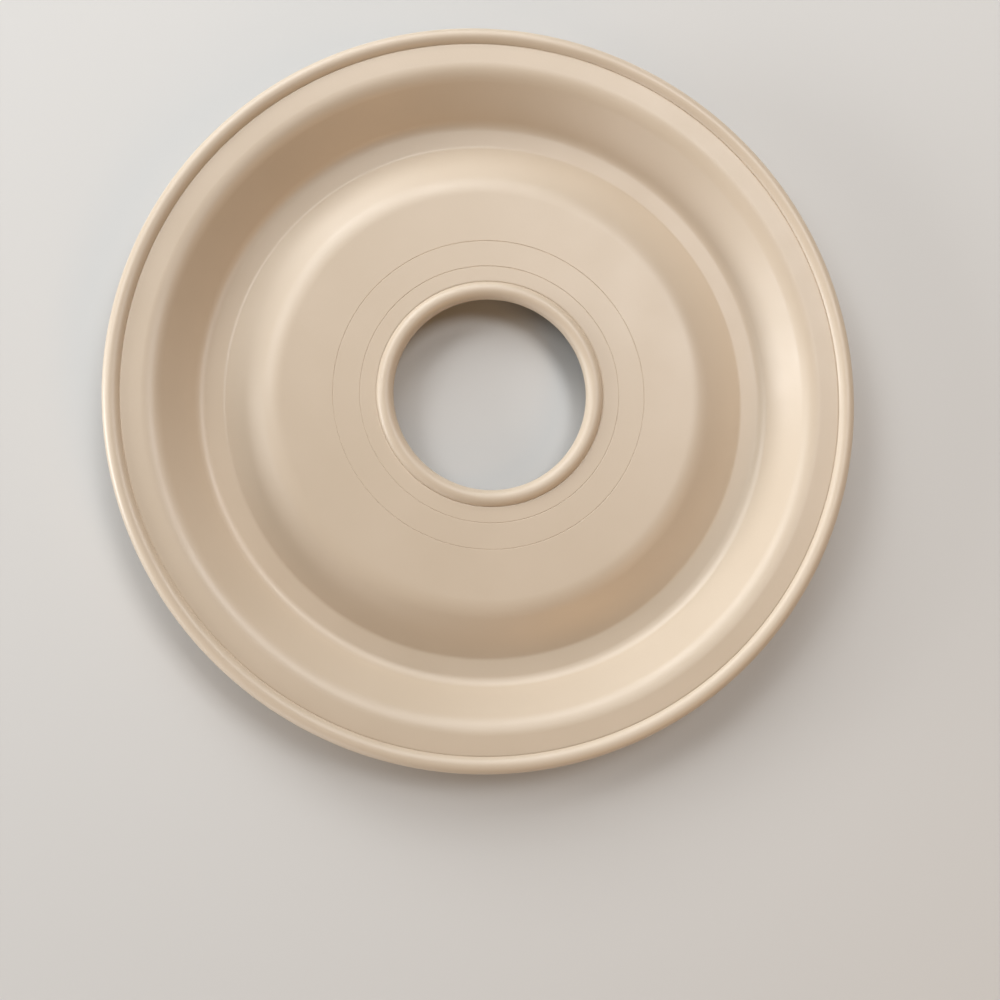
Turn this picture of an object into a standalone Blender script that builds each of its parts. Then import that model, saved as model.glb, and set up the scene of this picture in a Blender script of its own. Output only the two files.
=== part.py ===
"""Moulded elastomer diaphragm of an air-operated double-diaphragm pump.

One piece, turned about the vertical axis. It lies hollow side up, on the ring
of its convolution. From the rim inwards its section has a round sealing bead,
a flat flange, the trough, a flat clamp face with two witness lines, and a
second round bead at the shaft hole.
"""
import math

import bpy
from mathutils import Vector

# Widths in metres, from the shaft hole outwards. They add up to a diameter of 260 mm
HOLE_DIAMETER = 0.068
BEAD_DIAMETER = 0.0062
CLAMP_FACE_WIDTH = 0.0356
INNER_SLOPE_RUN = 0.0174
TROUGH_FLOOR_WIDTH = 0.0084
OUTER_SLOPE_RUN = 0.0120
FLANGE_WIDTH = 0.0102

# Thickness of the skin between the beads
WALL = 0.003

# Heights, measured down from the flange's upper face
TROUGH_DEPTH = 0.0150
CLAMP_FACE_DROP = 0.0060

# Bend radii on the upper face
FLANGE_EDGE_RADIUS = 0.008
FLOOR_OUTER_RADIUS = 0.003
FLOOR_INNER_RADIUS = 0.003
CLAMP_EDGE_RADIUS = 0.016

# Witness lines on the clamp face, measured outwards from the hole's bead
FIRST_LINE_SETBACK = 0.0054
LINE_SPACING = 0.0092
LINE_WIDTH = 0.00035
LINE_DEPTH = 0.00012

# Fineness of the mesh
TURN_STEPS = 72
BEND_STEP = math.radians(13.0)
BEAD_STEP = math.radians(28.0)

# Elastomer colour, linear RGB
TAN = (0.584, 0.446, 0.309, 1.0)
TAN_ROUGHNESS = 0.45

# Radii and heights that follow from the sizes above
BEAD_RADIUS = BEAD_DIAMETER / 2
INNER_BEAD_R = HOLE_DIAMETER / 2 + BEAD_RADIUS
CLAMP_FACE_R = INNER_BEAD_R + BEAD_RADIUS
CLAMP_EDGE_R = CLAMP_FACE_R + CLAMP_FACE_WIDTH
FLOOR_INNER_R = CLAMP_EDGE_R + INNER_SLOPE_RUN
FLOOR_OUTER_R = FLOOR_INNER_R + TROUGH_FLOOR_WIDTH
FLANGE_EDGE_R = FLOOR_OUTER_R + OUTER_SLOPE_RUN
OUTER_BEAD_R = FLANGE_EDGE_R + FLANGE_WIDTH + BEAD_RADIUS
LINE_RADII = (CLAMP_FACE_R + FIRST_LINE_SETBACK, CLAMP_FACE_R + FIRST_LINE_SETBACK + LINE_SPACING)
FLOOR_Z = WALL
FLANGE_Z = FLOOR_Z + TROUGH_DEPTH
CLAMP_Z = FLANGE_Z - CLAMP_FACE_DROP

# Each bead is centred on the skin, which enters it at this angle from the level
BEAD_ENTRY = math.asin(WALL / BEAD_DIAMETER)


def point(r, z):
    """A point of the section at radius r and height z."""
    return Vector((r, z))


def arc(centre, radius, start, sweep, largest_step):
    """Points on an arc, both ends and its middle included."""
    steps = 2 * math.ceil(abs(sweep) / (2 * largest_step))
    angles = [start + sweep * i / steps for i in range(steps + 1)]
    return [centre + radius * point(math.cos(a), math.sin(a)) for a in angles]


def bend(before, corner, after, radius, below):
    """The rounded corner of the skin, on its upper face or that far below it."""
    into = (corner - before).normalized()
    out = (after - corner).normalized()
    turn = math.atan2(into.cross(out), into.dot(out))
    side = math.copysign(1.0, turn)
    normal = point(-into.y, into.x) * side
    centre = corner - into * radius * math.tan(abs(turn) / 2) + normal * radius
    start = math.atan2(-normal.y, -normal.x)
    return arc(centre, radius + side * below, start, turn, BEND_STEP)


def skin(below):
    """All bends of the skin from the clamp face out to the flange."""
    corners = [
        point(INNER_BEAD_R, CLAMP_Z),
        point(CLAMP_EDGE_R, CLAMP_Z),
        point(FLOOR_INNER_R, FLOOR_Z),
        point(FLOOR_OUTER_R, FLOOR_Z),
        point(FLANGE_EDGE_R, FLANGE_Z),
        point(OUTER_BEAD_R, FLANGE_Z),
    ]
    radii = (CLAMP_EDGE_RADIUS, FLOOR_INNER_RADIUS, FLOOR_OUTER_RADIUS, FLANGE_EDGE_RADIUS)
    points = []
    for i, radius in enumerate(radii):
        points += bend(corners[i], corners[i + 1], corners[i + 2], radius, below)
    return points


def witness_lines():
    """A shallow V for each ring pressed into the clamp face."""
    points = []
    for r in LINE_RADII:
        points.append(point(r - LINE_WIDTH / 2, CLAMP_Z))
        points.append(point(r, CLAMP_Z - LINE_DEPTH))
        points.append(point(r + LINE_WIDTH / 2, CLAMP_Z))
    return points


def section():
    """The closed section, clockwise from the inner end of the clamp face."""
    round_bead = -2 * (math.pi - BEAD_ENTRY)
    rim = arc(point(OUTER_BEAD_R, FLANGE_Z - WALL / 2), BEAD_RADIUS,
              math.pi - BEAD_ENTRY, round_bead, BEAD_STEP)
    hole = arc(point(INNER_BEAD_R, CLAMP_Z - WALL / 2), BEAD_RADIUS,
               -BEAD_ENTRY, round_bead, BEAD_STEP)
    return witness_lines() + skin(0.0) + rim + skin(WALL)[::-1] + hole


def clear_scene():
    for item in list(bpy.data.objects):
        bpy.data.objects.remove(item, do_unlink=True)


def elastomer():
    """Satin tan moulded rubber."""
    material = bpy.data.materials.new("elastomer")
    material.use_nodes = True
    shader = material.node_tree.nodes["Principled BSDF"]
    shader.inputs["Base Color"].default_value = TAN
    shader.inputs["Roughness"].default_value = TAN_ROUGHNESS
    shader.inputs["Metallic"].default_value = 0.0
    return material


def build_diaphragm():
    """The section at +X, turned once about the vertical axis."""
    points = section()
    count = len(points)
    edges = [(i, (i + 1) % count) for i in range(count)]
    mesh = bpy.data.meshes.new("diaphragm")
    mesh.from_pydata([(p.x, 0.0, p.y) for p in points], edges, [])
    diaphragm = bpy.data.objects.new("diaphragm", mesh)
    bpy.context.collection.objects.link(diaphragm)
    mesh.materials.append(elastomer())
    turn = diaphragm.modifiers.new("turn", "SCREW")
    turn.axis = "Z"
    turn.angle = 2 * math.pi
    turn.screw_offset = 0.0
    turn.steps = TURN_STEPS
    turn.render_steps = TURN_STEPS
    turn.merge_threshold = 0.00005
    turn.use_smooth_shade = True
    diaphragm.modifiers.new("even shading", "WEIGHTED_NORMAL")
    return diaphragm


clear_scene()
build_diaphragm()
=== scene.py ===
import math

import bpy
from mathutils import Matrix, Vector


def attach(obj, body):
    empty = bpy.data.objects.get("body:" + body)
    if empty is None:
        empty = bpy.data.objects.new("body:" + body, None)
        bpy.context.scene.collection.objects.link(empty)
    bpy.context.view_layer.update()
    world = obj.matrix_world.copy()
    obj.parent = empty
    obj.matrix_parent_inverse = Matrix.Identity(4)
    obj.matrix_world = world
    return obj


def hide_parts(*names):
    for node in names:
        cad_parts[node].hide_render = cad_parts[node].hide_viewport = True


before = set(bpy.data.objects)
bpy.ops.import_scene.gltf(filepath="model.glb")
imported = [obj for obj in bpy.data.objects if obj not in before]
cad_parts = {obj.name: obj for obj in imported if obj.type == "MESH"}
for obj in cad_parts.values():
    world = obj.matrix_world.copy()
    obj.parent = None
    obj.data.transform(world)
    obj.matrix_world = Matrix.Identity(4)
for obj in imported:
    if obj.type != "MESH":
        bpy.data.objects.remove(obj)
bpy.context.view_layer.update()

# Sizes of the moulding, in metres, as in the CAD source
HOLE_DIAMETER = 0.068
BEAD_DIAMETER = 0.0062
CLAMP_FACE_WIDTH = 0.0356
INNER_SLOPE_RUN = 0.0174
TROUGH_FLOOR_WIDTH = 0.0084
OUTER_SLOPE_RUN = 0.0120
FLANGE_WIDTH = 0.0102
WALL = 0.003
TROUGH_DEPTH = 0.0150
CLAMP_FACE_DROP = 0.0060
FLANGE_EDGE_RADIUS = 0.008
FLOOR_INNER_RADIUS = 0.003
CLAMP_EDGE_RADIUS = 0.016
FIRST_LINE_SETBACK = 0.0054
LINE_SPACING = 0.0092

# Only the visual surface has these: a softer outer corner of the trough's floor, clearer
# hairlines, and a crease beside the beads
FLOOR_OUTER_RADIUS = 0.005
LINE_WIDTH = 0.0004
LINE_DEPTH = 0.0002
CREASE_DEPTH = 0.00022
CREASE_WIDTH = 0.0006

# Section of a hairline: distances from its middle, as shares of half its width, and the power
# by which it deepens
LINE_SHARES = (-1.0, -0.6, -0.3, 0.0, 0.3, 0.6, 1.0)
LINE_POWER = 1.2

# Section of a crease, from the skin to its bead: the distance from the bead and the depth, as shares
CREASE_SHARES = ((1.0, 0.0), (0.65, 0.1), (0.35, 0.4), (0.12, 0.82))

# Fineness of the mesh
TURN_STEPS = 360
BEND_STEP = math.radians(3.2)
BEAD_STEP = math.radians(8.0)

# Radii and heights that follow from the sizes above
BEAD_RADIUS = BEAD_DIAMETER / 2
INNER_BEAD_R = HOLE_DIAMETER / 2 + BEAD_RADIUS
CLAMP_FACE_R = INNER_BEAD_R + BEAD_RADIUS
CLAMP_EDGE_R = CLAMP_FACE_R + CLAMP_FACE_WIDTH
FLOOR_INNER_R = CLAMP_EDGE_R + INNER_SLOPE_RUN
FLOOR_OUTER_R = FLOOR_INNER_R + TROUGH_FLOOR_WIDTH
FLANGE_EDGE_R = FLOOR_OUTER_R + OUTER_SLOPE_RUN
OUTER_BEAD_R = FLANGE_EDGE_R + FLANGE_WIDTH + BEAD_RADIUS
FIRST_LINE_R = CLAMP_FACE_R + FIRST_LINE_SETBACK
LINE_RADII = (FIRST_LINE_R, FIRST_LINE_R + LINE_SPACING)
FLOOR_Z = WALL
FLANGE_Z = FLOOR_Z + TROUGH_DEPTH
CLAMP_Z = FLANGE_Z - CLAMP_FACE_DROP
RIM_CENTRE = Vector((0.0, 0.0, FLANGE_Z - WALL / 2))

# The rubber: its colours in linear RGB, its gloss, and the noise that varies them
TAN_DARK = (0.562, 0.465, 0.354, 1.0)
TAN_LIGHT = (0.588, 0.489, 0.377, 1.0)
RUBBER_SPECULAR = 0.73
RUBBER_ROUGHNESS = (0.37, 0.45)
NOISE_RANGE = (0.3, 0.7)
CLOUD_SCALE = 22.0
CLOUD_DETAIL = 4.0
PATCH_SCALE = 60.0
PATCH_DETAIL = 5.0
GRAIN_SCALE = 900.0
GRAIN_DETAIL = 3.0
GRAIN_STRENGTH = 0.25
GRAIN_HEIGHT = 0.00006

# The floor is a disc that ends short of the low lamps
GROUND_RADIUS = 1.1
GROUND_SIDES = 180
GROUND_COLOUR = (0.62, 0.62, 0.61, 1.0)
GROUND_ROUGHNESS = 0.9
GROUND_SPECULAR = 0.2

# Every lamp is the same soft box at the same distance
LAMP_DISTANCE = 1.6
LAMP_WIDTH = 0.7
LAMP_HEIGHT = 0.5
WHITE = (1.0, 1.0, 1.0)
WARM = (1.0, 0.62, 0.32)

# Strength of the white room on the moulding, and where the camera sees it
ROOM_ON_OBJECT = 0.02
ROOM_IN_VIEW = 0.80

# The camera, fitted to the outlines in the photo: two tilts in radians, and the centre of the
# rim bead as the camera sees it, in metres to its right, downwards and away from it
TILT_X = -0.075
TILT_Y = -0.093
RIM_IN_CAMERA = Vector((-0.002737, -0.037827, 0.311142))
FOCAL_PX = 900.0
FRAME_PX = 1000.0
SENSOR_MM = 36.0
CLIP_START = 0.01


def point(r, z):
    """A point of the section at radius r and height z."""
    return Vector((r, z))


def arc(centre, radius, start, sweep, largest_step):
    """Points on an arc, both ends and its middle included."""
    steps = 2 * math.ceil(abs(sweep) / (2 * largest_step))
    angles = [start + sweep * i / steps for i in range(steps + 1)]
    return [centre + radius * point(math.cos(a), math.sin(a)) for a in angles]


def bend(before, corner, after, radius, below):
    """The rounded corner of the skin, on its upper face or that far below it."""
    into = (corner - before).normalized()
    out = (after - corner).normalized()
    turn = math.atan2(into.cross(out), into.dot(out))
    side = math.copysign(1.0, turn)
    normal = point(-into.y, into.x) * side
    centre = corner - into * radius * math.tan(abs(turn) / 2) + normal * radius
    start = math.atan2(-normal.y, -normal.x)
    return arc(centre, radius + side * below, start, turn, BEND_STEP)


def skin(below):
    """All bends of the skin from the clamp face out to the flange."""
    corners = [
        point(INNER_BEAD_R, CLAMP_Z),
        point(CLAMP_EDGE_R, CLAMP_Z),
        point(FLOOR_INNER_R, FLOOR_Z),
        point(FLOOR_OUTER_R, FLOOR_Z),
        point(FLANGE_EDGE_R, FLANGE_Z),
        point(OUTER_BEAD_R, FLANGE_Z),
    ]
    radii = (CLAMP_EDGE_RADIUS, FLOOR_INNER_RADIUS, FLOOR_OUTER_RADIUS, FLANGE_EDGE_RADIUS)
    points = []
    for i, radius in enumerate(radii):
        points += bend(corners[i], corners[i + 1], corners[i + 2], radius, below)
    return points


def bead(centre, outwards):
    """A round bead with a fine crease where it meets the skin, above and below."""
    lean = math.asin((WALL / 2 - CREASE_DEPTH) / BEAD_RADIUS)
    foot = centre + BEAD_RADIUS * point(-math.cos(lean), math.sin(lean))
    upper_crease = [
        point(foot.x - CREASE_WIDTH * run, centre.y + WALL / 2 - CREASE_DEPTH * drop)
        for run, drop in CREASE_SHARES
    ]
    ball = arc(centre, BEAD_RADIUS, math.pi - lean, -2 * (math.pi - lean), BEAD_STEP)
    lower_crease = [point(p.x, 2 * centre.y - p.y) for p in reversed(upper_crease)]
    loop = upper_crease + ball + lower_crease
    if outwards:
        return loop
    return [point(2 * centre.x - p.x, p.y) for p in reversed(loop)]


def witness_lines():
    """Hairline grooves with soft lips."""
    points = []
    for r in LINE_RADII:
        for share in LINE_SHARES:
            depth = LINE_DEPTH * (1.0 - abs(share)) ** LINE_POWER
            points.append(point(r + share * LINE_WIDTH / 2, CLAMP_Z - depth))
    return points


def section():
    """The closed section, clockwise from the inner end of the clamp face."""
    rim = bead(point(OUTER_BEAD_R, FLANGE_Z - WALL / 2), True)
    hole = bead(point(INNER_BEAD_R, CLAMP_Z - WALL / 2), False)
    return witness_lines() + skin(0.0) + rim + skin(WALL)[::-1] + hole


def section_normals(points):
    """Outward normals of the section, led by the longer of the two edges that meet."""
    count = len(points)
    normals = []
    for i in range(count):
        along = point(0.0, 0.0)
        for a, b in ((points[i - 1], points[i]), (points[i], points[(i + 1) % count])):
            along += (b - a) * (b - a).length
        normals.append(point(-along.y, along.x).normalized())
    return normals


def turned_mesh(name, points):
    """The closed section turned once about Z, with the section's own normals."""
    count = len(points)
    slopes = section_normals(points)
    vertices, normals, faces = [], [], []
    for step in range(TURN_STEPS):
        angle = 2 * math.pi * step / TURN_STEPS
        c, s = math.cos(angle), math.sin(angle)
        vertices += [(p.x * c, p.x * s, p.y) for p in points]
        normals += [(n.x * c, n.x * s, n.y) for n in slopes]
        here = step * count
        there = ((step + 1) % TURN_STEPS) * count
        for i in range(count):
            j = (i + 1) % count
            faces.append((here + i, here + j, there + j, there + i))
    mesh = bpy.data.meshes.new(name)
    mesh.from_pydata(vertices, [], faces)
    mesh.shade_smooth()
    mesh.normals_split_custom_set_from_vertices(normals)
    return mesh


def disc_mesh(name, radius, sides):
    """A level disc at height 0."""
    angles = [2 * math.pi * i / sides for i in range(sides)]
    edge = [(radius * math.cos(a), radius * math.sin(a), 0.0) for a in angles]
    mesh = bpy.data.meshes.new(name)
    mesh.from_pydata(edge, [], [tuple(range(sides))])
    return mesh


def placed(name, data):
    """A new object with this data, in the scene."""
    item = bpy.data.objects.new(name, data)
    bpy.context.scene.collection.objects.link(item)
    return item


def noise(tree, place, scale, detail):
    """The factor of a noise in the object's own coordinates."""
    texture = tree.nodes.new("ShaderNodeTexNoise")
    texture.inputs["Scale"].default_value = scale
    texture.inputs["Detail"].default_value = detail
    tree.links.new(place.outputs["Object"], texture.inputs["Vector"])
    return texture.outputs["Fac"]


def elastomer():
    """Satin tan moulded rubber."""
    material = bpy.data.materials.new("elastomer")
    material.use_nodes = True
    tree = material.node_tree
    shader = tree.nodes["Principled BSDF"]
    shader.inputs["Specular IOR Level"].default_value = RUBBER_SPECULAR
    place = tree.nodes.new("ShaderNodeTexCoord")

    # Faint cloudy variation of the compound
    tint = tree.nodes.new("ShaderNodeValToRGB")
    for stop, position, colour in zip(tint.color_ramp.elements, NOISE_RANGE, (TAN_DARK, TAN_LIGHT)):
        stop.position = position
        stop.color = colour
    tree.links.new(noise(tree, place, CLOUD_SCALE, CLOUD_DETAIL), tint.inputs["Fac"])
    tree.links.new(tint.outputs["Color"], shader.inputs["Base Color"])

    # Satin surface with slightly duller patches
    gloss = tree.nodes.new("ShaderNodeMapRange")
    gloss.inputs["From Min"].default_value = NOISE_RANGE[0]
    gloss.inputs["From Max"].default_value = NOISE_RANGE[1]
    gloss.inputs["To Min"].default_value = RUBBER_ROUGHNESS[0]
    gloss.inputs["To Max"].default_value = RUBBER_ROUGHNESS[1]
    tree.links.new(noise(tree, place, PATCH_SCALE, PATCH_DETAIL), gloss.inputs["Value"])
    tree.links.new(gloss.outputs["Result"], shader.inputs["Roughness"])

    # Fine moulded grain
    bump = tree.nodes.new("ShaderNodeBump")
    bump.inputs["Strength"].default_value = GRAIN_STRENGTH
    bump.inputs["Distance"].default_value = GRAIN_HEIGHT
    tree.links.new(noise(tree, place, GRAIN_SCALE, GRAIN_DETAIL), bump.inputs["Height"])
    tree.links.new(bump.outputs["Normal"], shader.inputs["Normal"])
    return material


def floor_material():
    """A plain pale matt floor."""
    material = bpy.data.materials.new("pale_floor")
    material.use_nodes = True
    shader = material.node_tree.nodes["Principled BSDF"]
    shader.inputs["Base Color"].default_value = GROUND_COLOUR
    shader.inputs["Roughness"].default_value = GROUND_ROUGHNESS
    shader.inputs["Specular IOR Level"].default_value = GROUND_SPECULAR
    return material


def soft_light(name, azimuth, elevation, power, colour=WHITE):
    """A soft box that faces the origin. Azimuth is in degrees from +X towards +Y."""
    data = bpy.data.lights.new(name, "AREA")
    data.shape = "RECTANGLE"
    data.size = LAMP_WIDTH
    data.size_y = LAMP_HEIGHT
    data.energy = power
    data.color = colour
    lamp = placed(name, data)
    a, e = math.radians(azimuth), math.radians(elevation)
    lamp.location = (
        LAMP_DISTANCE * math.cos(e) * math.cos(a),
        LAMP_DISTANCE * math.cos(e) * math.sin(a),
        LAMP_DISTANCE * math.sin(e),
    )
    lamp.rotation_euler = (-lamp.location).to_track_quat("-Z", "Y").to_euler()


def white_room():
    """A world that is pale behind the floor and adds little light to the moulding."""
    world = bpy.data.worlds.new("room")
    world.use_nodes = True
    tree = world.node_tree
    room = tree.nodes["Background"]
    room.inputs["Color"].default_value = (*WHITE, 1.0)
    seen = tree.nodes.new("ShaderNodeLightPath")
    level = tree.nodes.new("ShaderNodeMapRange")
    level.inputs["To Min"].default_value = ROOM_ON_OBJECT
    level.inputs["To Max"].default_value = ROOM_IN_VIEW
    tree.links.new(seen.outputs["Is Camera Ray"], level.inputs["Value"])
    tree.links.new(level.outputs["Result"], room.inputs["Strength"])
    return world


def camera_above():
    """A camera that looks almost straight down."""
    data = bpy.data.cameras.new("camera")
    data.sensor_width = SENSOR_MM
    data.lens = FOCAL_PX / FRAME_PX * SENSOR_MM
    data.clip_start = CLIP_START
    camera = placed("camera", data)
    flip = Matrix.Diagonal((1.0, -1.0, -1.0))
    tilt = Matrix.Rotation(TILT_Y, 3, "Y") @ Matrix.Rotation(TILT_X, 3, "X")
    turn = (flip @ tilt @ flip).transposed()
    eye = RIM_CENTRE - turn @ (flip @ RIM_IN_CAMERA)
    camera.matrix_world = Matrix.Translation(eye) @ turn.to_4x4()
    return camera


# The moulding
diaphragm = placed("diaphragm_skin", turned_mesh("diaphragm_skin", section()))
diaphragm.data.materials.append(elastomer())
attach(diaphragm, "root")
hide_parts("diaphragm")

# The floor it lies on
floor = placed("floor", disc_mesh("floor", GROUND_RADIUS, GROUND_SIDES))
floor.data.materials.append(floor_material())

# Soft light from the left and the upper left, some from overhead, and a weak warm bounce from
# the lower right. A fit to the photo's shading picked these directions from a coarse grid, and
# set the powers
soft_light("low_left", 180.0, 10.0, 15.3)
soft_light("low_left_front", 210.0, 10.0, 3.1)
soft_light("low_front", 240.0, 10.0, 3.7)
soft_light("back", 90.0, 25.0, 2.5)
soft_light("key", 120.0, 25.0, 8.0)
soft_light("high_back", 90.0, 42.0, 5.9)
soft_light("high_key", 120.0, 42.0, 2.2)
soft_light("high_left", 150.0, 42.0, 6.3)
soft_light("overhead", 45.0, 60.0, 8.2)
soft_light("bounce", 330.0, 42.0, 2.9, WARM)
soft_light("low_bounce", 300.0, 25.0, 3.8, WARM)

scene = bpy.context.scene
scene.world = white_room()
scene.camera = camera_above()
scene.view_settings.view_transform = "Standard"
